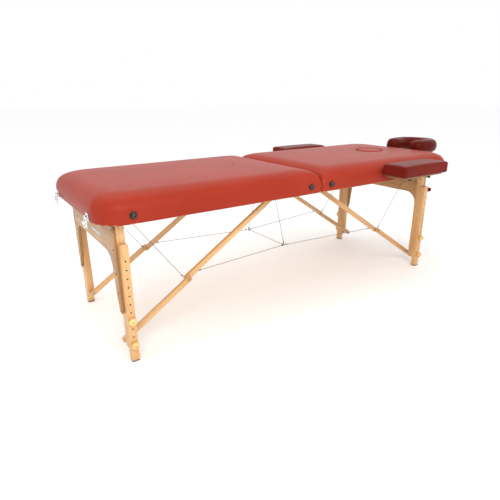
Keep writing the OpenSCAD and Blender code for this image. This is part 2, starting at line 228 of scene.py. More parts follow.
def timber(name, rot, light, mid, dark, flecks=1.0):
    """Straight-grained wood with its grain along the turned X axis."""
    s = Shade(name)
    board = s.noise(s.mapped(rot, (1.1, 9, 9)), 1.6, 4, 0.5, 0.6)
    line = s.noise(s.mapped(rot, (2.5, 70, 70)), 2.2, 5, 0.6, 0.3)
    fleck = s.noise(s.mapped(rot, (28, 420, 420)), 1.3, 2, 0.4)
    col = s.ramp(board, [(0.28, dark), (0.5, mid), (0.72, light)])
    col = s.mix(s.span(line, 0.42, 0.68, 0.0, 0.42), col, dark)
    pit = (dark[0] * 0.55, dark[1] * 0.5, dark[2] * 0.45, 1)
    col = s.mix(s.span(fleck, 0.6, 0.72, 0.0, 0.35 * flecks), col, pit)
    rough = s.span(line, 0.3, 0.7, 0.36, 0.52)
    s.bump((line, 0.18, 0.0005), (fleck, 0.14, 0.0003))
    return s.out(col, rough, Specular_IOR_Level=0.5, Coat_Weight=0.25, Coat_Roughness=0.25)


def plywood(name, rot, thick_axis, layer, light, mid, dark):
    """Face veneer, with the layers showing on the cut edges."""
    s = Shade(name)
    band = s.noise(s.mapped(rot, (1.2, 7, 7)), 2.2, 5, 0.55, 1.4)
    line = s.noise(s.mapped(rot, (3, 60, 60)), 2.0, 5, 0.6, 0.4)
    col = s.ramp(band, [(0.3, dark), (0.5, mid), (0.7, light)])
    col = s.mix(s.span(line, 0.45, 0.7, 0.0, 0.3), col, dark)
    normal = s.new("ShaderNodeTexCoord").outputs["Normal"]
    part = s.new("ShaderNodeSeparateXYZ")
    s.link(normal, part.inputs[0])
    place = s.new("ShaderNodeSeparateXYZ")
    s.link(s.co, place.inputs[0])
    face = s.calc("ABSOLUTE", part.outputs[thick_axis])
    stripe = s.calc("SINE", s.calc("MULTIPLY", place.outputs[thick_axis], math.pi / layer))
    glue = tuple(c * 0.5 for c in dark[:3]) + (1,)
    edge = s.ramp(s.span(stripe, -0.3, 0.3, 0, 1), [(0.0, glue), (1.0, mid)])
    edge = s.mix(0.35, edge, s.ramp(line, [(0.3, dark), (0.7, light)]))
    col = s.mix(s.span(face, 0.4, 0.6, 0, 1), edge, col)
    s.bump((line, 0.15, 0.0004))
    return s.out(col, s.span(line, 0.3, 0.7, 0.38, 0.52), Coat_Weight=0.2, Coat_Roughness=0.28)


def metal(name, a, b, r0, r1, scale=(40, 40, 400)):
    s = Shade(name)
    wear = s.noise(s.co, 90, 4)
    brush = s.noise(s.mapped((0, 0, 0), scale), 3, 4)
    s.bump((brush, 0.08, 0.0002))
    return s.out(s.ramp(wear, [(0.35, a), (0.65, b)]), s.span(brush, 0.3, 0.7, r0, r1), Metallic=1.0)


def rubber(name, a, b, r0=0.5, r1=0.7):
    s = Shade(name)
    dust = s.noise(s.co, 140, 5)
    pore = s.voronoi(s.co, 900)
    s.bump((pore, 0.25, 0.0003), (dust, 0.1, 0.0004))
    return s.out(s.ramp(dust, [(0.35, a), (0.7, b)]), s.span(dust, 0.3, 0.7, r0, r1))


def webbing(name, a, b):
    s = Shade(name)
    warp = s.noise(s.mapped((0, 0, 0), (1500, 1500, 500)), 1, 1)
    ribs = s.new("ShaderNodeTexWave", bands_direction="DIAGONAL")
    ribs.inputs["Scale"].default_value = 330
    ribs.inputs["Distortion"].default_value = 0.6
    s.link(s.co, ribs.inputs["Vector"])
    s.bump((ribs.outputs["Fac"], 0.6, 0.0006), (warp, 0.3, 0.0003))
    col = s.mix(s.span(ribs.outputs["Fac"], 0, 1, 0, 0.8), a, b)
    return s.out(col, s.span(warp, 0, 1, 0.75, 0.95), Sheen_Weight=0.3)


WOOD = (lin(222, 184, 132), lin(206, 160, 105), lin(178, 126, 73))
PLY = (lin(182, 140, 82), lin(166, 121, 64), lin(142, 98, 46))
PALE_PLY = (lin(222, 186, 132), lin(200, 160, 106), lin(172, 130, 82))
KNOB = (lin(238, 208, 146), lin(226, 188, 120), lin(204, 158, 90))
UP = (0, math.radians(90), 0)
ACROSS = (0, 0, math.radians(90))
TILT = math.atan2(PIVOT_Z - pivot("foot_lower_brace_swing").z, pivot("foot_upper_brace_swing").x - FOOT_X)

M = {
    "cover": leather("cover_leather", lin(148, 47, 32), lin(140, 43, 28), lin(155, 53, 37)),
    # armrest leather: the table's cover leather made darker; the extra darkness is painted shade
    "arm": leather("armrest_leather_painted_shade", lin(104, 26, 18), lin(96, 23, 16), lin(112, 30, 21)),
    # dark leather: the crescent's own dark red; on the sling shelf the same colour is painted shade over the
    # table's vinyl
    "dark": leather("dark_red_and_painted_shade_leather", lin(88, 19, 14), lin(78, 16, 12), lin(96, 23, 17)),
    "stitch": webbing("stitch_thread", lin(112, 32, 28), lin(150, 52, 44)),
    "beech_up": timber("beech_upright", UP, *WOOD),
    "beech_x": timber("beech_lengthwise", (0, 0, 0), *WOOD),
    "beech_foot": timber("beech_foot_brace", (0, TILT, 0), *WOOD),
    "beech_head": timber("beech_head_brace", (0, -TILT, 0), *WOOD),
    "knob": timber("knob_beech", ACROSS, *KNOB, flecks=0.6),
    "plate": plywood("end_plate_plywood", ACROSS, 0, 0.0014, *PLY),
    "deck": plywood("deck_plywood", (0, 0, 0), 2, 0.0012, *PALE_PLY),
    "board": plywood("board_plywood", (0, 0, 0), 2, 0.0015, *PLY),
    "steel": metal("zinc_steel", lin(170, 170, 172), lin(200, 200, 204), 0.25, 0.42),
    "dull": metal("dark_steel", lin(70, 68, 66), lin(105, 102, 98), 0.35, 0.5),
    "brass": metal("brassed_steel", lin(150, 124, 78), lin(190, 160, 104), 0.28, 0.42),
    "chrome": metal("chrome_plate", lin(200, 202, 206), lin(225, 227, 230), 0.08, 0.18),
    "cable": metal("cable_steel", lin(112, 109, 106), lin(146, 142, 138), 0.3, 0.45, (300, 300, 300)),
    "black": rubber("black_rubber", lin(22, 22, 24), lin(38, 37, 37), 0.22, 0.4),
    "foot": rubber("foot_rubber", lin(38, 38, 42), lin(62, 60, 60), 0.6, 0.8),
    "strap": webbing("black_webbing", lin(20, 20, 22), lin(48, 47, 48)),
    "maroon_strap": webbing("maroon_webbing", lin(96, 26, 26), lin(128, 42, 38)),
    "label": rubber("blank_plate", lin(176, 180, 184), lin(196, 200, 202), 0.4, 0.55),
}

# ---------------------------------------------------------------- mesh helpers

def make(name, verts, faces, mat, body, smooth=True):
    mesh = bpy.data.meshes.new(name)
    mesh.from_pydata([tuple(Vector(v) + SHIFT) for v in verts], [], faces)
    bm = bmesh.new()
    bm.from_mesh(mesh)
    bmesh.ops.remove_doubles(bm, verts=bm.verts, dist=1e-6)
    bmesh.ops.recalc_face_normals(bm, faces=bm.faces)
    bm.to_mesh(mesh)
    bm.free()
    mesh.polygons.foreach_set("use_smooth", [smooth] * len(mesh.polygons))
    mesh.materials.append(M[mat])
    obj = bpy.data.objects.new(name, mesh)
    bpy.context.scene.collection.objects.link(obj)
    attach(obj, body)
    return obj


def modify(obj, kind, **props):
    m = obj.modifiers.new(kind.lower(), kind)
    for k, v in props.items():
        setattr(m, k, v)
    return m


def sharp(obj, degrees=35):
    """Flat shading across real edges, smooth over the rest."""
    bm = bmesh.new()
    bm.from_mesh(obj.data)
    for e in bm.edges:
        e.smooth = not (len(e.link_faces) == 2 and e.calc_face_angle(0) > math.radians(degrees))
    bm.to_mesh(obj.data)
    bm.free()
    return obj


def skin(rings, n, closed=False):
    """Faces from each ring of n points to the next, and from the last to the first if closed."""
    faces = []
    for k in range(rings if closed else rings - 1):
        a, b = k * n, (k + 1) % rings * n
        for i in range(n):
            j = (i + 1) % n
            faces.append((a + i, a + j, b + j, b + i))
    return faces


def line(a, b, n):
    """n + 1 points on a straight line."""
    return [Vector(a).lerp(Vector(b), i / n) for i in range(n + 1)]


class Kit:
    """Collects small parts of one material and body into one mesh."""

    def __init__(self):
        self.v, self.f = [], []

    def add(self, verts, faces):
        n = len(self.v)
        self.v += [Vector(v) for v in verts]
        self.f += [tuple(i + n for i in f) for f in faces]

    def lathe(self, at, axis, profile, seg=28, lobes=0, lobe=0.0, sides=0, capped=True):
        """profile is (distance along the axis, radius) pairs. capped=False leaves a bore open."""
        ax = Vector(axis).normalized()
        a = ax.orthogonal().normalized()
        b = ax.cross(a)
        at = Vector(at)
        verts = []
        for h, r in profile:
            for i in range(seg):
                t = 2 * math.pi * i / seg
                k = 1 + lobe * math.cos(lobes * t)
                if sides:
                    w = math.pi / sides
                    k *= math.cos(w) / math.cos((t + w) % (2 * w) - w)
                verts.append(at + ax * h + (a * math.cos(t) + b * math.sin(t)) * r * k)
        faces = skin(len(profile), seg)
        if capped:
            faces += [tuple(range(seg - 1, -1, -1)), tuple(range(len(verts) - seg, len(verts)))]
        self.add(verts, faces)

    def tube(self, path, radius, seg=10, closed=False, lobes=0, pitch=0.012, lobe=0.0):
        path = [Vector(p) for p in path]
        n = len(path)
        verts = []
        ref, run = None, 0.0
        for k, p in enumerate(path):
            if closed:
                d = path[(k + 1) % n] - path[k - 1]
            else:
                d = path[min(k + 1, n - 1)] - path[max(k - 1, 0)]
            d.normalize()
            if ref is None:
                ref = d.orthogonal().normalized()
            ref = (ref - d * ref.dot(d)).normalized()
            side = d.cross(ref)
            run += (p - path[k - 1]).length if k else 0
            for i in range(seg):
                t = 2 * math.pi * i / seg
                r = radius * (1 + lobe * math.cos(lobes * (t - 2 * math.pi * run / pitch)))
                verts.append(p + (ref * math.cos(t) + side * math.sin(t)) * r)
        faces = skin(n, seg, closed)
        if not closed:
            faces += [tuple(range(seg - 1, -1, -1)), tuple(range((n - 1) * seg, n * seg))]
        self.add(verts, faces)

    def strap(self, path, across, sect, shape=lambda k: (1, 1)):
        """Webbing: sect is (across, through) pairs, and shape gives a width and a thickness factor."""
        across = Vector(across)
        m, n = len(sect), len(path)
        verts = []
        for k, p in enumerate(path):
            d = (path[min(k + 1, n - 1)] - path[max(k - 1, 0)]).normalized()
            normal = across.cross(d).normalized()
            pinch, fat = shape(k)
            verts += [p + across * (a * pinch) + normal * b * fat for a, b in sect]
        self.add(verts, skin(n, m) + [tuple(range(m)), tuple(range((n - 1) * m, n * m))])

    def ring(self, at, axis, major, minor, seg=28, tube=8):
        ax = Vector(axis).normalized()
        a = ax.orthogonal().normalized()
        b = ax.cross(a)
        at = Vector(at)
        turns = [2 * math.pi * i / seg for i in range(seg)]
        pts = [at + (a * math.cos(t) + b * math.sin(t)) * major for t in turns]
        self.tube(pts, minor, tube, closed=True)

    def brick(self, lo, hi, cut=0.0008, turn=None, about=None):
        """A block with cut edges."""
        lo, hi = Vector(lo), Vector(hi)
        bm = bmesh.new()
        bmesh.ops.create_cube(bm, size=1)
        for v in bm.verts:
            v.co = Vector((lo[i] + (v.co[i] + 0.5) * (hi[i] - lo[i]) for i in range(3)))
        if cut:
            bmesh.ops.bevel(bm, geom=list(bm.edges), offset=cut, segments=2, profile=0.6, affect="EDGES")
        if turn is not None:
            bmesh.ops.rotate(bm, verts=bm.verts, cent=about, matrix=turn)
        bm.verts.index_update()
        self.add([v.co.copy() for v in bm.verts], [tuple(v.index for v in f.verts) for f in bm.faces])
        bm.free()

    def screw(self, at, axis, r=0.0036, h=0.0012):
        """A domed screw head with a cross recess."""
        self.lathe(at, axis, [
            (-0.0015, 0), (-0.0015, r * 0.5), (0, r), (h * 0.5, r * 0.94), (h * 0.85, r * 0.7),
            (h, r * 0.42), (h * 0.9, r * 0.36), (h * 0.1, r * 0.16), (h * 0.1, 0)], 20, 4, 0.05)

    def washer(self, at, axis, r, bore, t=0.0008):
        ease = 0.0002
        self.lathe(at, axis, [
            (0, bore), (0, r - ease), (ease, r), (t - ease, r), (t, r - ease), (t, bore)], 32)

    def hexnut(self, at, axis, r, h):
        self.lathe(at, axis, [
            (0, 0), (0, r), (h * 0.8, r), (h, r * 0.86), (h, r * 0.45), (h * 0.8, r * 0.4),
            (h * 0.8, 0)], 24, sides=6)

    def done(self, name, mat, body, slot=None, edges=40, stands=()):
        obj = make(name, self.v, self.f, mat, body)
        sharp(obj, edges)
        if stands:
            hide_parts(*stands)
        return obj


def finish_cad(name, mat, bevel=0.0012, segments=2, angle=35):
    """A CAD node that is shown: closed edges are eased and it gets its material."""
    o = node[name]
    o.data.materials.clear()
    o.data.materials.append(M[mat])
    modify(o, "WELD", merge_threshold=0.00001)
    if bevel:
        modify(o, "BEVEL", width=bevel, segments=segments, limit_method="ANGLE",
               angle_limit=math.radians(angle), harden_normals=False, use_clamp_overlap=True)
    for p in o.data.polygons:
        p.use_smooth = True
    modify(o, "EDGE_SPLIT", split_angle=math.radians(38))


# ---------------------------------------------------------------- panels

R_FOLD, R_END = 0.012, 0.1003    # corner radii of a panel in plan, at the fold and at the table's end


def plan_ring(end, d, counts):
    """A panel's rounded outline set in by d, mirrored for the foot panel."""
    near = min(d, 0.006)
    a, b, w = FOLD_X + d, HALF_L - d, HALF_W - d
    most = min(w, (b - a) / 2)
    rf = min(R_FOLD + 0.45 * d, most)
    re = min(max(R_END - near - 0.35 * (d - near), 0.012), most)
    n_long, n_end, n_arc = counts
    arcs = []
    for cx, cy, r, start in ((a + rf, -w + rf, rf, 180), (b - re, -w + re, re, 270),
                             (b - re, w - re, re, 0), (a + rf, w - rf, rf, 90)):
        turns = [math.radians(start + 90 * i / n_arc) for i in range(n_arc + 1)]
        arcs.append([Vector((cx + r * math.cos(t), cy + r * math.sin(t), 0)) for t in turns])
    pts = []
    for k, n in enumerate((n_long, n_end, n_long, n_end)):
        pts += arcs[k] + line(arcs[k][-1], arcs[(k + 1) % 4][0], n)[1:-1]
    sign = -1 if end == "foot" else 1
    return [Vector((p.x * sign, p.y, 0)) for p in pts]


RISE = Z_TOP - Z_UNDER
BUMPER_R = 0.012
PROFILE = [  # (set in, height), both in millimetres, from the hem under the rails to the top
    (24, -1.4), (17, -2.0), (10, -2.0), (5.4, -1.0), (3.2, 2.2), (1.9, 7), (1.0, 13), (0.3, 20),
    (0.0, 28), (0.5, 37), (1.9, 46), (4.4, 54.5), (8.0, 62.5), (12.8, 70), (19, 76.6), (26.8, 82.2),
    (36, 86.8), (46, 90.4), (57, 93.2), (70, 95.2)]


def upholstery(end):
    """The foam and its cover as one crowned skin, drawn in over the rails and stapled underneath."""
    counts = (100, 64, 16)
    rows = []
    for d, h in PROFILE:
        rows.append([Vector((p.x, p.y, Z_UNDER + h * MM)) for p in plan_ring(end, d * MM, counts)])
    last = rows[-1]
    top0 = last[0].z
    if end == "head":
        lo, hi = box("face_hole_plug")
        hole = Vector(((lo.x + hi.x) / 2, 0, 0))
        rim = [hole + (Vector((p.x, p.y, 0)) - hole).normalized() * 0.0715 for p in last]
        steps = 16
        for k in range(1, steps + 1):
            t = k / steps
            z = top0 + 0.0022 * math.sin(min(t * 1.6, 1) * math.pi / 2) - 0.0035 * max(0, t - 0.9) / 0.1
            rows.append([Vector((p.x * (1 - t) + q.x * t, p.y * (1 - t) + q.y * t, z))
                         for p, q in zip(last, rim)])
    else:
        for d in (90, 115, 145, 180, 220, 260, 295, 320, HALF_W / MM):
            z = top0 + 0.0030 * math.sin(min((d - 70) / 150, 1) * math.pi / 2)
            rows.append([Vector((p.x, p.y, z)) for p in plan_ring(end, d * MM, counts)])
    verts = [v for row in rows for v in row]
    faces = skin(len(rows), len(rows[0]))
    lo, hi = box(f"{end}_bumpers")
    xs = [lo.x + BUMPER_R, hi.x - BUMPER_R]
    bz = (lo.z + hi.z) / 2
    cx, cy = HALF_L - R_END, HALF_W - R_END
    for v in verts:
        side = (HALF_W - abs(v.y)) < 0.012
        h = (v.z - Z_UNDER) / RISE
        wall = max(0.0, min(1.0, 1 - abs(h - 0.5) * 1.6))
        # the cover is not perfectly flat
        w = noise.noise(Vector((v.x * 7, v.y * 7, v.z * 16 + (3 if end == "foot" else 9))))
        out = 0.0009 * w * wall
        # gathers at the corners, deepest at the hem
        low = max(0.0, 1 - (v.z - Z_UNDER) / 0.06)
        rx, ry = abs(v.x) - cx, abs(v.y) - cy
        if rx > 0 and ry > 0:
            ang = math.atan2(ry, rx)
            out += 0.0011 * low * math.sin(ang * 22) * math.sin(ang * 2)
            direction = Vector((math.copysign(math.cos(ang), v.x), math.copysign(math.sin(ang), v.y), 0))
        elif HALF_L - abs(v.x) < 0.02:
            direction = Vector((math.copysign(1, v.x), 0, 0))
        elif abs(v.x) < 0.02 and not side:
            direction = Vector((-math.copysign(1, v.x), 0, 0))
        else:
            direction = Vector((0, math.copysign(1, v.y), 0))
        if h < 0.93:
            v += direction * out
        # the cover lies above the hinge leaves
        if abs(v.x) < 0.036:
            v.z = max(v.z, Z_UNDER - 0.0008)
        # folded pleats at the corners beside the fold
        if side and abs(v.x) < 0.075 and 0.05 < h < 0.95:
            t = (abs(v.x) - 0.010) / 0.065
            v.y += math.copysign(0.0013, v.y) * math.sin(t * 10.5) * (1 - t) * (1 - h * 0.6)
        # pulled in round the bumpers
        for bx in xs if v.y < 0 and side else []:
            q = math.hypot(v.x - bx, v.z - bz)
            v.y += 0.0042 * math.exp(-(q / 0.0165) ** 2)
            a = math.atan2(v.z - bz, v.x - bx)
            v.y += 0.0006 * math.exp(-((q - 0.026) / 0.012) ** 2) * math.sin(a * 9)
    o = make(f"{end}_upholstery", verts, faces, "cover", f"{end}_section")
    modify(o, "SUBSURF", levels=1, render_levels=1)
    modify(o, "SOLIDIFY", thickness=0.0012, offset=-1)
    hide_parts(f"{end}_cushion", f"{end}_side_wrap")


def hem(end):
    """The staples that hold the cover under the rails."""
    kit = Kit()
    ring = plan_ring(end, 0.0185, (60, 44, 10))
    leg = Vector((0, 0, 0.0012))
    for k in range(0, len(ring), 2):
        a, b = ring[k], ring[(k + 1) % len(ring)]
        if (b - a).length < 0.008:
            continue
        t = (b - a).normalized()
        p = (a + b) / 2
        p.z = Z_UNDER - 0.0002
        kit.tube([p - t * 0.005 + leg, p - t * 0.0048, p + t * 0.0048, p + t * 0.005 + leg], 0.00045, 6)
    kit.done(f"{end}_staples", "steel", f"{end}_section", "steel")


def face_hole():
    lo, hi = box("face_hole_plug")
    at = Vector(((lo.x + hi.x) / 2, 0, 0))
    kit = Kit()
    # lining of the hole with a rolled lip
    z = Z_TOP
    prof = [(Z_FOAM, 0.0705), (Z_FOAM, 0.0690), (z - 0.010, 0.0688), (z - 0.004, 0.0690),
            (z - 0.0008, 0.0698), (z + 0.0009, 0.0712), (z + 0.0012, 0.0728), (z + 0.0002, 0.0742),
            (z - 0.0016, 0.0746), (z - 0.006, 0.0735), (z - 0.010, 0.0705), (Z_FOAM, 0.0705)]
    kit.lathe(at, (0, 0, 1), prof, 96, capped=False)
    kit.done("face_hole_lining", "cover", "head_section", "table_cover", 60)
    kit = Kit()
    r = (hi.x - lo.x) / 2 - 0.0006
    zb, zt = Z_FOAM + 0.0004, Z_TOP
    prof = [(zb, 0), (zb, r - 0.004), (zb + 0.002, r - 0.0012), (zb + 0.006, r), (zb + 0.024, r + 0.0003),
            (zt - 0.013, r), (zt - 0.007, r - 0.0012), (zt - 0.0025, r - 0.004), (zt + 0.0004, r - 0.010),
            (zt + 0.0016, r - 0.022), (zt + 0.0022, r - 0.040), (zt + 0.0020, 0.012),
            (zt + 0.0012, 0.006), (zt + 0.0010, 0)]
    kit.lathe(at, (0, 0, 1), prof, 96)
    b, r_base, base_top = lo.z, 0.0588, zb + 0.0006
    kit.lathe(at, (0, 0, 1), [
        (b, 0), (b, 0.056), (b + 0.0015, r_base), (base_top, r_base), (base_top, 0)], 72)
    o = kit.done("face_plug_cushion", "cover", "plug", "table_cover", 50)
    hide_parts("face_hole_plug")
    kit = Kit()
    kit.ring(at + Vector((0, 0, zt - 0.0026)), (0, 0, 1), r - 0.0036, 0.0013, 96, 8)
    kit.ring(at + Vector((0, 0, zb + 0.0035)), (0, 0, 1), r - 0.0012, 0.0011, 96, 8)
    kit.done("face_plug_piping", "dark", "plug", "dark_cover")


def bumpers(end):
    lo, hi = box(f"{end}_bumpers")
    domes, screws = Kit(), Kit()
    z = (lo.z + hi.z) / 2
    out = Vector((0, -1, 0))
    for x in (lo.x + BUMPER_R, hi.x - BUMPER_R):
        at = Vector((x, -HALF_W + 0.0042, z))
        domes.lathe(at, out, [
            (-0.004, 0), (-0.004, 0.0112), (0.0006, 0.0118), (0.0018, 0.0120), (0.0050, 0.0117),
            (0.0082, 0.0108), (0.0110, 0.0092), (0.0132, 0.0070), (0.0146, 0.0046), (0.0150, 0.0032),
            (0.0141, 0.0028), (0.0128, 0.0026), (0.0128, 0)], 40)
        domes.ring(at + out * 0.0016, out, 0.0122, 0.0010, 40, 8)
        screws.screw(at + out * 0.0128, out, 0.0023, 0.0008)
    domes.done(f"{end}_bumper_domes", "black", f"{end}_section", "rubber", 50, (f"{end}_bumpers",))
    screws.done(f"{end}_bumper_screws", "dull", f"{end}_section", "steel")


def handle(end):
    """Webbing grip in a flat arch with riveted end plates."""
    lo, hi = box(f"{end}_handle")
    cx, zc = (lo.x + hi.x) / 2, (lo.z + hi.z) / 2
    last = 48
    pts = []
    for i in range(last + 1):
        t = i / last * 2 - 1
        y = HALF_W + 0.0022 + 0.0265 * max(0, 1 - abs(t * 1.25) ** 3.2) ** 0.9
        pts.append(Vector((cx + t * 0.074, y, zc)))
    half, thick = 0.0115, 0.0017
    sect = [(half * a, thick * b) for a, b in (
        (-1, -1), (-0.98, 1), (-0.6, 1.15), (0, 1.2), (0.6, 1.15),
        (0.98, 1), (1, -1), (0.6, -1.1), (0, -1.1), (-0.6, -1.1))]

    def grip(k):
        """The strap is gathered in and fatter at the middle."""
        near = max(0, 1 - abs(k - last / 2) / 13)
        return 1 - 0.22 * near, 1 + 1.1 * near

    kit = Kit()
    kit.strap(pts, (0, 0, 1), sect, grip)
    seam_y = HALF_W + 0.0044
    for s in (-1, 1):
        for a in (-0.0085, 0.0085):
            kit.tube(line((cx + s * 0.055, seam_y, zc + a), (cx + s * 0.0718, seam_y, zc + a), 12), 0.0004, 6)
    kit.done(f"{end}_handle_strap", "strap", f"{end}_section", "strap", 60, (f"{end}_handle",))
    caps, screws = Kit(), Kit()
    for s in (-1, 1):
        x = cx + s * 0.0655
        for y0, y1, z0, z1, cut in ((0.0030, 0.0052, -0.0135, 0.0135, 0.0009),
                                    (-0.0010, 0.0044, -0.0150, -0.0125, 0.0007),
                                    (-0.0010, 0.0044, 0.0125, 0.0150, 0.0007)):
            caps.brick((x - 0.0095, HALF_W + y0, zc + z0), (x + 0.0095, HALF_W + y1, zc + z1), cut)
        for a in (-0.006, 0.006):
            screws.screw((x, HALF_W + 0.0052, zc + a), (0, 1, 0), 0.0032, 0.0011)
    caps.done(f"{end}_handle_plates", "steel", f"{end}_section", "steel")
    screws.done(f"{end}_handle_screws", "chrome", f"{end}_section", "chrome")


def fold_hinges():
    for end, s in (("foot", -1), ("head", 1)):
        finish_cad(f"{end}_hinge_leaves", "steel", 0.0003, 1)
        kit = Kit()
        leaf_z = Z_UNDER - 0.0016
        for y in (-0.230, 0.0, 0.230):
            for dx, dy in ((0.012, -0.022), (0.012, 0.022), (0.024, -0.013), (0.024, 0.013)):
                kit.screw((s * dx, y + dy, leaf_z), (0, 0, -1), 0.0032, 0.0011)
        kit.done(f"{end}_hinge_screws", "steel", f"{end}_section", "steel")


def latches():
    finish_cad("latch_bases", "chrome", 0.0005, 2)
    finish_cad("latch_levers", "chrome", 0.0005, 2)
    ax = pivot("latch_turn")
    screws, bail, wing = Kit(), Kit(), Kit()
    base_z, off = 0.5325, 0.0108
    for y in (-0.215, 0.215):
        at = Vector((ax.x, y, ax.z))
        for dz in (-off, off):
            for dy in (-off, off):
                screws.screw((-HALF_L - 0.002, y + dy, base_z + dz), (-1, 0, 0), 0.0024, 0.0010)
        for s in (-1, 1):
            screws.lathe((ax.x, y + s * 0.0160, ax.z), (0, s, 0), [
                (0, 0), (0, 0.0030), (0.0008, 0.0028), (0.0012, 0.0016), (0.0012, 0)], 20)
        # wire bail over the lever, and finger wings on its lower end
        pts = []
        for i in range(25):
            t = math.pi * i / 24
            bow = math.sin(t)
            pts.append(at + Vector((-0.0052 - 0.0040 * bow, 0.0090 * math.cos(t), -0.007 - 0.015 * bow)))
        bail.tube(pts, 0.0013, 8)
        for s in (-1, 1):
            pts = []
            for i in range(13):
                bow = math.sin(i / 12 * math.pi)
                pts.append(at + Vector((-0.0040 - 0.0020 * bow, s * (0.0110 + 0.0035 * bow),
                                        -0.036 + 0.015 * i / 12)))
            wing.tube(pts, 0.0016, 8)
    screws.done("latch_screws", "steel", "foot_section", "steel")
    bail.done("latch_bails", "chrome", "latches", "chrome")
    wing.done("latch_wings", "chrome", "latches", "chrome")


def underside(end):
    for part in ("rails", "pivot_blocks"):
        finish_cad(f"{end}_{part}", "beech_x", 0.0015)
    finish_cad(f"{end}_deck", "deck", 0.0006, 1)
    finish_cad(f"{end}_pivot_pins", "steel", 0.0004, 2)
    kit = Kit()
    s = -1 if end == "foot" else 1
    hx = leg_x(end, 0)
    up = (0, 0, -1)
    for _, sy in SIDES:
        for dx in (-0.013, 0.013):
            kit.screw((hx + dx, sy * 0.302, Z_UNDER + 0.003), up, 0.0036, 0.0013)
        px = pivot(f"{end}_upper_brace_swing").x
        block_y = box(f"{end}_upper_struts")[1].y - 0.024
        for dx in (-0.006, 0.006):
            kit.screw((px + dx, sy * block_y, Z_DECK - 0.028), up, 0.0032, 0.0012)
        for x in (0.12, 0.24, 0.36, 0.50, 0.64):
            kit.screw((s * x, sy * 0.324, Z_UNDER), up, 0.0034, 0.0012)
    for y in (-0.16, -0.08, 0, 0.08, 0.16):
        kit.screw((s * 0.465, y, Z_DECK - 0.022), up, 0.0034, 0.0012)
        kit.screw((s * (HALF_L - 0.011), y, Z_UNDER), up, 0.0034, 0.0012)
    kit.done(f"{end}_frame_screws", "steel", f"{end}_section", "steel")


# ---------------------------------------------------------------- legs

def legs(end):
    body = f"{end}_legs"
    finish_cad(f"{end}_posts", "beech_up", 0.0022, 3)
    finish_cad(f"{end}_end_plate", "plate", 0.0014, 2)
    finish_cad(f"{end}_leg_bolts", "steel", 0.0004, 2)
    out = Vector((-1 if end == "foot" else 1, 0, 0))
    face = leg_x(end, -0.024)
    kit, caps = Kit(), Kit()
    for _, sy in SIDES:
        for y, z in ((0.261, 0.488), (0.264, 0.420), (0.264, 0.335), (0.264, 0.262), (0.268, 0.196)):
            kit.screw((face, sy * y, z), out, 0.0042, 0.0016)
        # the glued plug over the leg pivot on the end face of each post
        caps.lathe((leg_x(end, 0.014), sy * 0.2645, 0.470), -out, [
            (-0.001, 0), (-0.001, 0.0048), (0.0001, 0.0048), (0.0005, 0.0040), (0.0006, 0)], 24)
    kit.done(f"{end}_plate_screws", "dull", body, "steel")
    caps.done(f"{end}_post_plugs", "knob", body, "knob_wood")
    # small blank plate on the outer face of the end plate
    tag = Kit()
    if end == "foot":
        x0 = face + out.x * 0.0009
        tag.brick((min(face, x0), -0.130, 0.4325), (max(face, x0), -0.018, 0.4450), 0.0004)
        tag.done("end_plate_tag", "label", body, "steel")
        rv = Kit()
        for y in (-0.126, -0.022):
            rv.screw((x0, y, 0.4388), out, 0.0018, 0.0006)
        rv.done("end_plate_tag_rivets", "steel", body, "steel")
    for side, sy in SIDES:
        foot_body = f"{end}_{side}_foot"
        finish_cad(f"{end}_{side}_extension", "beech_up", 0.0022, 3)
        lo, hi = box(f"{end}_{side}_pad")
        cap = Kit()
        cap.brick((lo.x + 0.0006, lo.y + 0.0006, 0.0), (hi.x - 0.0006, hi.y - 0.0006, hi.z), 0.0016)
        for i in range(5):
            y = lo.y + (i + 0.5) * (hi.y - lo.y) / 5
            cap.brick((lo.x + 0.0030, y - 0.0012, 0.00002), (hi.x - 0.0030, y + 0.0012, 0.0010), 0.0003)
        cap.brick((lo.x - 0.0002, lo.y - 0.0002, hi.z - 0.0016), (hi.x + 0.0002, hi.y + 0.0002, hi.z), 0.0006)
        cap.done(f"{end}_{side}_rubber_foot", "foot", foot_body, "rubber", 40, (f"{end}_{side}_pad",))
        # turned knobs with a metal insert
        for level in ("upper", "lower"):
            name = f"{end}_{side}_{level}_knob"
            at = pivot(f"{name}_turn")
            a = box(name)
            y0 = a[0].y if sy > 0 else a[1].y
            base = Vector((at.x, y0, at.z))
            w = (0, sy, 0)
            k = Kit()
            wide = (a[1].z - a[0].z) / 0.027
            k.lathe(base, w, [(h, r * wide) for h, r in (
                (0, 0), (0, 0.0092), (0.0006, 0.0100), (0.0022, 0.0104), (0.0034, 0.0100), (0.0042, 0.0106),
                (0.0056, 0.0122),
                (0.0074, 0.0132), (0.0094, 0.01345), (0.0116, 0.0132), (0.0140, 0.0122), (0.0160, 0.0104),
                (0.0174, 0.0080), (0.0182, 0.0052), (0.0185, 0.0030), (0.0185, 0))], 60, 10, 0.016)
            k.done(f"{name}_turned", "knob", name, "knob_wood", 60, (name,))
            m = Kit()
            m.washer(base - Vector(w) * 0.00012, w, 0.0098, 0.0035, 0.0009)
            m.lathe(base, w, [
                (0.0178, 0), (0.0178, 0.0030), (0.0186, 0.0029), (0.01885, 0.0022), (0.01885, 0)], 20)
            m.done(f"{name}_insert", "brass", name, "steel")
        # dark bushings let into the height holes
        bush = Kit()
        pitch = 0.0318
        face_y = hi.y if sy > 0 else lo.y
        z0 = pivot(f"{end}_{side}_lower_knob_turn").z
        for i in range(11):
            if i in (0, 3):
                continue
            bush.lathe((leg_x(end, 0), face_y - sy * 0.00527, z0 + pitch * i), (0, sy, 0), [
                (0, 0.00258), (0.0050, 0.00258), (0.00535, 0.0029), (0.00535, 0.0032), (0.0049, 0.0031),
                (0.0048, 0.00262)], 24, capped=False)
        bush.done(f"{end}_{side}_hole_bushings", "dull", foot_body, "steel")


# ---------------------------------------------------------------- braces and cables

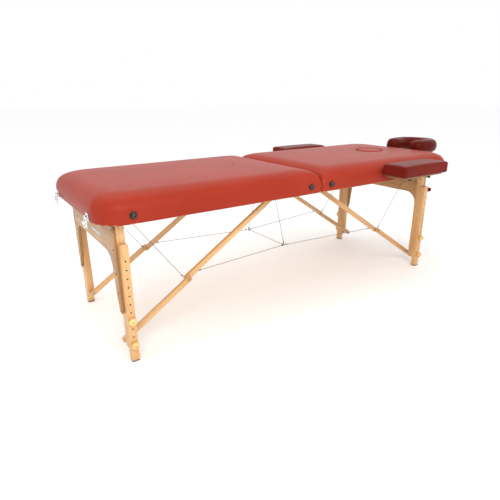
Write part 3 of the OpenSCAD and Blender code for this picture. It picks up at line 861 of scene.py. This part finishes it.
def braces(end):
    finish_cad(f"{end}_lower_struts", f"beech_{end}", 0.0022, 3)
    finish_cad(f"{end}_upper_struts", f"beech_{end}", 0.0022, 3)
    P = pivot(f"{end}_lower_brace_swing")
    U = pivot(f"{end}_upper_brace_swing")
    s = 1 if end == "foot" else -1
    run, rise = abs(U.x - P.x), U.z - P.z
    full = math.hypot(run, rise)
    low = (full - (run - rise)) / 2
    J = P + Vector((s * low * math.cos(TILT), 0, low * math.sin(TILT)))
    y_low = box(f"{end}_lower_struts")[1].y - 0.0024
    y_up = box(f"{end}_upper_struts")[1].y
    a, b = Kit(), Kit()
    for _, sy in SIDES:
        a.washer((J.x, sy * y_low, J.z), (0, sy, 0), 0.0085, 0.003, 0.0010)
        a.hexnut((J.x, sy * (y_low + 0.0010), J.z), (0, sy, 0), 0.0056, 0.0030)
        a.washer((P.x, sy * (y_low - 0.0144), P.z), (0, -sy, 0), 0.0078, 0.003, 0.0008)
        b.washer((J.x, sy * (y_up - 0.0141), J.z), (0, -sy, 0), 0.0085, 0.003, 0.0010)
        b.lathe((J.x, sy * (y_up - 0.0151), J.z), (0, -sy, 0), [
            (0, 0), (0, 0.0062), (0.0012, 0.0060), (0.0024, 0.0048), (0.0030, 0.0028), (0.0030, 0)], 28)
        b.washer((U.x, sy * (y_up + 0.0003), U.z), (0, sy, 0), 0.0075, 0.003, 0.0008)
    a.done(f"{end}_elbow_nuts", "brass", f"{end}_lower_braces", "steel")
    b.done(f"{end}_elbow_bolts", "brass", f"{end}_upper_braces", "steel")
    return J


def rope(kit, a, b, sag=0.0):
    a, b = Vector(a), Vector(b)
    n = max(8, int((b - a).length / 0.0022))
    pts = [a.lerp(b, i / n) - Vector((0, 0, sag * 4 * (i / n) * (1 - i / n))) for i in range(n + 1)]
    kit.tube(pts, 0.00112, 18, lobes=6, pitch=0.016, lobe=0.09)


def ferrule(kit, a, towards, length=0.011, r=0.0024):
    d = (Vector(towards) - Vector(a)).normalized()
    kit.lathe(a, d, [
        (0, 0), (0, r * 0.75), (0.0008, r), (length * 0.3, r), (length * 0.36, r * 0.84),
        (length * 0.46, r * 0.84), (length * 0.52, r), (length - 0.0008, r), (length, r * 0.7),
        (length, 0)], 20)


def eye(kit, at, axis, r=0.0036, stem=0.004):
    """A screw eye: a ring on a short threaded stem."""
    ax = Vector(axis).normalized()
    kit.ring(Vector(at), ax.orthogonal(), r, 0.0009, 24, 8)
    kit.lathe(Vector(at) + ax * r, ax, [(0, 0), (0, 0.0012), (stem, 0.0012), (stem, 0)], 14)


def cables(end, J):
    s = 1 if end == "foot" else -1
    t = Vector((s * math.cos(TILT), 0, math.sin(TILT)))
    n = Vector((s * math.sin(TILT), 0, -math.cos(TILT)))
    net_x = pivot("centre_cable_swing").x
    net = box("centre_cables")
    net_z = net[0].z + 0.004
    net_y = net[1].y - 0.004
    cy = box(f"{end}_upper_struts")[1].y - 0.007
    wire, crimp, wire2, crimp2, eyes = Kit(), Kit(), Kit(), Kit(), Kit()
    for _, sy in SIDES:
        a = J + t * 0.052 + n * 0.013
        a.y = sy * cy
        b = Vector((net_x, sy * net_y, net_z))
        d = (b - a).normalized()
        end_b = b - d * 0.0072
        rope(wire, a + d * 0.002, end_b)
        ferrule(crimp, a + d * 0.003, b)
        ferrule(crimp, end_b - d * 0.0005, a)
        # the eye under the strut rides with the strut
        eyes.ring(a + Vector((0, 0, 0.001)), (0, 1, 0), 0.0034, 0.0009, 24, 8)
        eyes.lathe(a - n * 0.0022, -n, [(0, 0), (0, 0.0012), (0.006, 0.0012), (0.006, 0)], 14)
        # stay from above the elbow to the deck by the leg pivot
        c = J - t * 0.008 - n * 0.0115
        c.y = sy * cy
        top = pivot(f"{end}_stay_cable_swing")
        top = Vector((top.x, sy * cy, top.z))
        e = (top - c).normalized()
        rope(wire2, c + e * 0.003, top - e * 0.002)
        ferrule(crimp2, c + e * 0.004, top)
        ferrule(crimp2, top - e * 0.003, c)
        eyes.ring(c, (0, 1, 0), 0.0022, 0.0008, 24, 8)
        eyes.lathe(c + n * 0.0022, n, [(0, 0), (0, 0.0012), (0.006, 0.0012), (0.006, 0)], 14)
    for kind, strands, crimps in (("brace", wire, crimp), ("stay", wire2, crimp2)):
        body = f"{end}_{kind}_cables"
        strands.done(f"{end}_{kind}_cable_strands", "cable", body, "steel_cable", 80, (body,))
        crimps.done(f"{end}_{kind}_cable_crimps", "dull", body, "steel")
    eyes.done(f"{end}_strut_eyes", "steel", f"{end}_upper_braces", "steel")
    anchors = Kit()
    for _, sy in SIDES:
        top = pivot(f"{end}_stay_cable_swing")
        eye(anchors, (top.x, sy * cy, top.z + 0.0002), (0, 0, 1), 0.0030, 0.0035)
    anchors.done(f"{end}_deck_eyes", "steel", f"{end}_section", "steel")


def middle_cables():
    lo, hi = box("centre_cables")
    x = pivot("centre_cable_swing").x
    z, y, top = lo.z + 0.004, hi.y - 0.004, hi.z
    wire, crimp, anchors = Kit(), Kit(), Kit()
    near, far = Vector((x, -y, z)), Vector((x, y, z))
    d = (far - near).normalized()
    rope(wire, near + d * 0.005, far - d * 0.005)
    ferrule(crimp, near + d * 0.005, far)
    ferrule(crimp, far - d * 0.005, near)
    for p, sy in ((near, -1), (far, 1)):
        a = Vector((x, sy * 0.055, top - 0.003))
        e = (a - p).normalized()
        rope(wire, p + e * 0.005, a)
        ferrule(crimp, p + e * 0.005, a)
        ferrule(crimp, a - e * 0.001, p)
        crimp.ring(p, (1, 0, 0), 0.0036, 0.0011, 28, 8)
        eye(anchors, a + Vector((0, 0, 0.001)), (0, 0, 1), 0.0030, 0.0400)
    wire.done("centre_cable_strands", "cable", "centre_cables", "steel_cable", 80, ("centre_cables",))
    crimp.done("centre_cable_crimps", "dull", "centre_cables", "steel")
    anchors.done("centre_cable_eyes", "steel", "foot_section", "steel")


# ---------------------------------------------------------------- soft pieces

def slab(name, lo, hi, mat, body, slot, edge=0.010, crown=0.004, waist=0.003, n=(40, 22, 8)):
    """A boxed pad with two welts: crowned top, edges eased, sides drawn in between the corners."""
    lo, hi = Vector(lo), Vector(hi)
    c, h = (lo + hi) / 2, (hi - lo) / 2
    verts, index = [], {}

    def draw_in(across, along):
        """How far a side is pulled in at a place along it; both run from -1 to 1."""
        return math.copysign(waist * max(0, 1 - along ** 2) ** 0.8 * abs(across) ** 6, across)

    def spot(*key):
        if key in index:
            return index[key]
        u = Vector([2 * a / m - 1 for a, m in zip(key, n)])
        # crowd the divisions towards the edges
        u = Vector([math.copysign(1 - (1 - abs(a)) ** 1.35, a) for a in u])
        p = Vector([a * b for a, b in zip(u, h)])
        q = Vector([max(-b + edge, min(b - edge, a)) for a, b in zip(p, h)])
        d = p - q
        if d.length > 1e-9:
            big = max(abs(d.x), abs(d.y), abs(d.z))
            p = q + d.normalized() * edge * (big / edge)
        if u.z > 0.02:
            p.z += crown * ((1 - u.x ** 2) ** 0.6) * ((1 - u.y ** 2) ** 0.6) * u.z
        p.y -= draw_in(u.y, u.x)
        p.x -= draw_in(u.x, u.y)
        w = noise.noise(Vector((p.x * 22 + lo.x * 5, p.y * 22 + lo.y * 3, p.z * 30)))
        p += (p.normalized() * 0.0006 * w)
        # small puckers towards the corners
        corner = abs(u.x) ** 8 * abs(u.y) ** 8
        p.z -= 0.0010 * corner * math.sin((u.x + u.y) * 40)
        index[key] = len(verts)
        verts.append(c + p)
        return index[key]

    faces = []
    for a, b, across in ((0, 1, 2), (0, 2, 1), (1, 2, 0)):
        for i in range(n[a]):
            for j in range(n[b]):
                for level in (0, n[across]):
                    quad = []
                    for di, dj in ((0, 0), (1, 0), (1, 1), (0, 1)):
                        key = [level] * 3
                        key[a], key[b] = i + di, j + dj
                        quad.append(spot(*key))
                    faces.append(tuple(quad))
    o = make(name, verts, faces, mat, body)
    modify(o, "SUBSURF", levels=1, render_levels=1)
    kit = Kit()
    corners = ((-1, -1, 0), (1, -1, 0), (1, 1, 0), (-1, 1, 0))
    r = 0.72 * edge
    for level in (0.86, -0.86):
        pts = []
        for a, b in zip(corners, corners[1:] + corners[:1]):
            for u in line(a, b, 24)[:-1]:
                x = u.x * (h.x - 0.0002) - draw_in(u.x, u.y)
                y = u.y * (h.y - 0.0002) - draw_in(u.y, u.x)
                qx, qy = abs(x) - (h.x - r), abs(y) - (h.y - r)
                if qx > 0 and qy > 0:
                    d = math.hypot(qx, qy)
                    x = math.copysign(h.x - r + qx / d * min(d, r), x)
                    y = math.copysign(h.y - r + qy / d * min(d, r), y)
                pts.append(c + Vector((x, y, level * (h.z - edge * 0.4))))
        kit.tube(pts, 0.0011, 8, closed=True)
    kit.done(name + "_welt", mat, body, slot, 80)
    return o


def arm_rests():
    rod_z = 0.537
    for side, sy in SIDES:
        body = f"{side}_armrest"
        lo, hi = box(f"{side}_arm_pad")
        lo.z += 0.0002
        # the pad's darker leather is painted shade
        o = slab(f"{side}_armrest_pad", lo, hi, "arm", body, "dark_cover", 0.011, 0.0045, 0.0028)
        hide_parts(f"{side}_arm_pad")
        finish_cad(f"{side}_arm_frame", "board", 0.0012, 2)
        kit, caps = Kit(), Kit()
        for x in (0.440, 0.580):
            # a flange where each rod enters the rail, and saddles under the board
            kit.lathe((x, sy * HALF_W, rod_z), (0, sy, 0), [
                (-0.0006, 0.0062), (-0.0006, 0.0125), (0.0010, 0.0130), (0.0018, 0.0125), (0.0018, 0.0078),
                (0.0060, 0.0074), (0.0066, 0.0070), (0.0066, 0.0062)], 36, capped=False)
            for a in (0.388, 0.417):
                y = sy * a
                kit.brick((x - 0.0108, y - 0.005, 0.5360), (x + 0.0108, y + 0.005, 0.5371), 0.0004)
                turns = [math.pi * i / 14 for i in range(15)]
                kit.tube([Vector((x + 0.0072 * math.cos(t), y, rod_z - 0.0072 * math.sin(t))) for t in turns],
                         0.0013, 8)
                for dx in (-0.0090, 0.0090):
                    kit.screw((x + dx, y, 0.5360), (0, 0, -1), 0.0016, 0.0007)
            caps.lathe((x, sy * 0.438, rod_z), (0, sy, 0), [
                (-0.012, 0.00605), (-0.012, 0.0068), (-0.001, 0.0068), (0.0008, 0.0060), (0.0014, 0.0040),
                (0.0014, 0)], 24)
        kit.done(f"{side}_armrest_fittings", "dull", body, "steel")
        caps.done(f"{side}_armrest_rod_caps", "black", body, "rubber")


def crescent():
    """The face cushion: a fat horseshoe roll, flat underneath, with rounded ends and a middle seam."""
    finish_cad("cradle_platform", "board", 0.0012, 2)
    lo, hi = box("cradle_cushion")
    x_open = lo.x
    half_y = (hi.y - lo.y) / 2
    height = hi.z - lo.z
    arm_r = 0.0440                       # half width of an arm
    cx = hi.x - half_y                   # centre of the round end
    path = []
    yc = half_y - arm_r
    x_start = x_open + arm_r
    steps = 16
    for i in range(steps):
        path.append(Vector((x_start + (cx - x_start) * i / steps, yc - 0.006 * (1 - i / steps) ** 2, 0)))
    for i in range(41):
        t = math.pi / 2 - math.pi * i / 40
        path.append(Vector((cx + (half_y - arm_r) * math.cos(t), yc * math.sin(t), 0)))
    for i in range(steps - 1, -1, -1):
        path.append(Vector((x_start + (cx - x_start) * i / steps, -(yc - 0.006 * (1 - i / steps) ** 2), 0)))
    n = len(path)
    seg = 44
    rows = []

    def section(p, side, width, fall):
        """One ring round the roll, superelliptic, flat below."""
        ring = []
        for i in range(seg):
            t = 2 * math.pi * i / seg
            ct, st = math.cos(t), math.sin(t)
            a = math.copysign(abs(ct) ** 0.72, ct)
            b = math.copysign(abs(st) ** 0.80, st)
            zz = height * 0.46 + b * (height * 0.54 if b > 0 else height * 0.455)
            inner = 1 if ct < 0 else 0
            # the top rolls down towards the opening
            if b > 0:
                zz -= 0.006 * max(0, -ct) * st
            w = width * (1 if not inner else 0.98)
            pos = p + side * (a * w)
            pos.z = lo.z + max(0.0, zz * fall + (1 - fall) * height * 0.46)
            puff = noise.noise(Vector((pos.x * 18, pos.y * 18, pos.z * 20)))
            pos += side * (0.0016 * puff * a)
            pos.z += 0.0012 * puff * max(0, b)
            ring.append(pos)
        return ring

    tans = [(path[min(k + 1, n - 1)] - path[max(k - 1, 0)]).normalized() for k in range(n)]
    order = [(p, d, 1.0) for p, d in zip(path, tans)]
    cap = 9
    # rounded ends: rings that shrink as they run out beyond the path
    for c in range(1, cap + 1):
        a = c / cap * math.pi / 2
        out = arm_r * 0.985 * math.sin(a)
        f = max(0.02, math.cos(a)) ** 0.85
        order.insert(0, (path[0] - tans[0] * out, tans[0], f))
        order.append((path[-1] + tans[-1] * out, tans[-1], f))
    for p, d, f in order:
        side = Vector((d.y, -d.x, 0)) * -1
        rows.append(section(p, side, arm_r * f, 0.35 + 0.65 * f ** 0.7))
    verts = [v for r in rows for v in r]
    m = len(rows)
    faces = skin(m, seg) + [tuple(range(seg)), tuple(range((m - 1) * seg, m * seg))]
    o = make("crescent_cushion", verts, faces, "dark", "cradle")
    modify(o, "SUBSURF", levels=1, render_levels=1)
    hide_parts("cradle_cushion")
    # welt along the outer and inner flanks
    kit = Kit()
    outer = [r[0] for r in rows]
    inner = [r[seg // 2] for r in rows]
    loop = outer + list(reversed(inner))
    kit.tube(loop, 0.0013, 8, closed=True)
    kit.done("crescent_welt", "dark", "cradle", "dark_cover", 80)
    # blank fabric tab sewn into the welt
    tab = Kit()
    q = outer[len(outer) * 60 // 100]
    c = Vector((cx, 0, q.z))
    o_dir = (q - c).normalized()
    tan = Vector((-o_dir.y, o_dir.x, 0))
    verts, faces = [], []
    for i in range(7):
        out = 0.0010 + 0.0100 * i / 6
        dz = -0.0030 * (i / 6) ** 2
        for sgn in (-1, 1):
            for th in (-0.0003, 0.0003):
                verts.append(q + o_dir * out + tan * sgn * 0.006 + Vector((0, 0, dz + th)))
    for i in range(6):
        a = i * 4
        for b, c in ((0, 1), (2, 3), (0, 2), (1, 3)):
            faces.append((a + b, a + c, a + c + 4, a + b + 4))
    faces += [(0, 1, 3, 2), (24, 25, 27, 26)]
    tab.add(verts, faces)
    tab.done("crescent_tab", "label", "cradle", "dark_cover")


def cradle_hardware():
    finish_cad("cradle_posts", "steel", 0.0, 1)
    t = pivot("cradle_tilt")
    bore = 0.0081
    sockets, cams, collars = Kit(), Kit(), Kit()
    for y in (-0.100, 0.100):
        # flanged sockets let into the end rail
        sockets.lathe((HALF_L, y, t.z), (1, 0, 0), [
            (-0.0006, 0.0072), (-0.0006, 0.0150), (0.0010, 0.0155), (0.0020, 0.0150), (0.0022, 0.0100),
            (0.0065, 0.0094), (0.0072, 0.0088), (0.0072, 0.0072)], 40, capped=False)
        for a in (45, 135, 225, 315):
            dy, dz = 0.0124 * math.cos(math.radians(a)), 0.0124 * math.sin(math.radians(a))
            sockets.screw((HALF_L + 0.0018, y + dy, t.z + dz), (1, 0, 0), 0.0015, 0.0006)
    for s in (-1, 1):
        collars.lathe((t.x, s * 0.0665, t.z), (0, s, 0), [
            (0, bore), (0, 0.0112), (0.0006, 0.0118), (0.0045, 0.0118), (0.0050, 0.0112), (0.0050, bore)],
            36, capped=False)
        collars.screw((t.x, s * 0.069, t.z + 0.0118), (0, 0, 1), 0.0018, 0.0008)
        collars.lathe((t.x, s * 0.1078, t.z), (0, s, 0), [
            (-0.010, bore), (-0.010, 0.0088), (-0.0008, 0.0088), (0.0, 0.0082), (0.0002, 0.0050),
            (0.0002, 0)], 32)
    sockets.done("cradle_sockets", "dull", "head_section", "steel")
    collars.done("cradle_collars", "dull", "cradle_carriage", "steel")
    # tilt locks on the platform ears, and the lever of the far one
    for s in (-1, 1):
        cams.lathe((t.x, s * 0.0509, t.z), (0, -s, 0), [
            (0, 0.0084), (0, 0.0125), (0.0008, 0.0130), (0.0020, 0.0126), (0.0022, 0.0084)], 32, capped=False)
    lever = []
    for i in range(15):
        u = i / 14
        lever.append(Vector((t.x - 0.004 - 0.020 * u, 0.0460 + 0.0010 * math.sin(u * math.pi),
                             t.z - 0.010 - 0.018 * u ** 1.5)))
    cams.tube(lever, 0.0030, 12)
    cams.lathe((t.x - 0.004, 0.0460, t.z - 0.009), (0, 1, 0), [
        (-0.004, 0), (-0.004, 0.0052), (-0.0032, 0.0060), (0.0032, 0.0060), (0.004, 0.0052), (0.004, 0)], 24)
    cams.done("cradle_tilt_locks", "black", "cradle", "rubber")


def sling():
    lo, hi = box("arm_sling")
    t = pivot("sling_swing")
    top = lo.z + 0.024
    # the shelf's dark leather is painted shade
    o = slab("sling_shelf", (lo.x, lo.y, lo.z + 0.0005), (hi.x, hi.y, top), "dark", "sling", "dark_cover",
             0.0105, 0.0035, 0.0035, (22, 44, 6))
    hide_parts("arm_sling")
    straps, buckles, stitch = Kit(), Kit(), Kit()
    # half of a strap's route, as distances from the tube's centre line and heights
    route = ((0.0028, t.z - 0.030), (0.0022, t.z - 0.060), (0.0022, 0.400), (0.0024, top + 0.012),
             (0.0060, top + 0.0056), (0.020, top + 0.0052), (0.040, top + 0.0046))
    half, th = 0.0068, 0.0007
    sect = [(-half, -th), (-half, th), (0, th * 1.3), (half, th), (half, -th), (0, -th * 1.3)]
    r, face, z = 0.0094, 0.0040, 0.455    # loop radius, strap's face, buckle height
    for s in (-1, 1):
        y = s * 0.080
        # webbing looped over the tube, down on both sides and out over the shelf
        turns = [math.radians(200 - 220 * i / 24) for i in range(25)]
        pts = [Vector((t.x - dx, y, h)) for dx, h in reversed(route)]
        pts += [Vector((t.x + r * math.cos(a), y, t.z + r * math.sin(a))) for a in turns]
        pts += [Vector((t.x + dx, y, h)) for dx, h in route]
        # round the corners of the route
        last = len(pts) - 1
        smooth = []
        for i in range(last):
            p0, p1, p2, p3 = pts[max(i - 1, 0)], pts[i], pts[i + 1], pts[min(i + 2, last)]
            for u in (0, 0.25, 0.5, 0.75):
                smooth.append(0.5 * ((2 * p1) + (p2 - p0) * u + (2 * p0 - 5 * p1 + 4 * p2 - p3) * u * u
                                     + (3 * p1 - p0 - 3 * p2 + p3) * u ** 3))
        smooth.append(pts[-1])
        straps.strap(smooth, (0, 1, 0), sect)

        # slider buckle and box stitching
        centre = Vector((t.x, y, z))

        def bar(a, b, radius):
            buckles.tube(line(centre + Vector(a), centre + Vector(b), 6), radius, 8)

        w, h = 0.0085, 0.009
        for dz in (-0.008, 0.0, 0.008):
            for f in (face, -face):
                bar((f, -w, dz), (f, w, dz), 0.0011)
        for e in (-w, w):
            for f in (-face, face):
                bar((f, e, -h), (f, e, h), 0.0012)
            for dz in (h, -h):
                bar((-face, e, dz), (face, e, dz), 0.0012)
        for f in (-1, 1):
            for e in (-0.0050, 0.0050):
                a = (t.x + f * 0.012, y + e, top + 0.0062)
                b = (t.x + f * 0.038, y + e, top + 0.0054)
                stitch.tube(line(a, b, 10), 0.0004, 6)
    straps.done("sling_straps", "maroon_strap", "sling", "dark_cover", 60)
    buckles.done("sling_buckles", "dull", "sling", "steel")
    stitch.done("sling_stitches", "stitch", "sling", "dark_cover")


# ---------------------------------------------------------------- build

for end in ENDS:
    upholstery(end)
    hem(end)
    bumpers(end)
    handle(end)
    underside(end)
    legs(end)
    elbow = braces(end)
    cables(end, elbow)
face_hole()
fold_hinges()
latches()
middle_cables()
arm_rests()
crescent()
cradle_hardware()
sling()

# ---------------------------------------------------------------- studio

def studio():
    world = bpy.data.worlds.new("studio")
    bpy.context.scene.world = world
    world.use_nodes = True
    bg = world.node_tree.nodes["Background"]
    bg.inputs[0].default_value = (1, 1, 1, 1)
    bg.inputs[1].default_value = 1.0
    mesh = bpy.data.meshes.new("floor")
    size = 30
    corners = [(-size, -size, 0), (size, -size, 0), (size, size, 0), (-size, size, 0)]
    mesh.from_pydata(corners, [], [(0, 1, 2, 3)])
    s = Shade("floor_paper")
    soft = s.noise(s.co, 2.0, 3)
    pale = s.ramp(soft, [(0.3, (0.975, 0.975, 0.975, 1)), (0.7, (0.985, 0.985, 0.985, 1))])
    mesh.materials.append(s.out(pale, s.span(soft, 0, 1, 0.75, 0.85)))
    floor = bpy.data.objects.new("floor", mesh)
    bpy.context.scene.collection.objects.link(floor)
    for name, loc, size, power, aim in (
            ("key", (-2.2, -3.2, 3.0), 2.0, 72, (-0.6, 0, 0.45)),
            ("front", (-0.5, -2.7, 2.0), 1.3, 20, (-0.8, -0.3, 0.50)),
            ("top", (-0.2, 0.8, 3.4), 3.2, 30, (-0.2, 0, 0.5))):
        light = bpy.data.lights.new(name, "AREA")
        light.shape, light.size, light.energy = "DISK", size, power
        light.color = (1.0, 0.965, 0.93)
        o = bpy.data.objects.new(name, light)
        o.location = Vector(loc) + SHIFT
        o.rotation_euler = (Vector(aim) - Vector(loc)).to_track_quat("-Z", "Y").to_euler()
        bpy.context.scene.collection.objects.link(o)
    bpy.context.scene.view_settings.view_transform = "Standard"


studio()
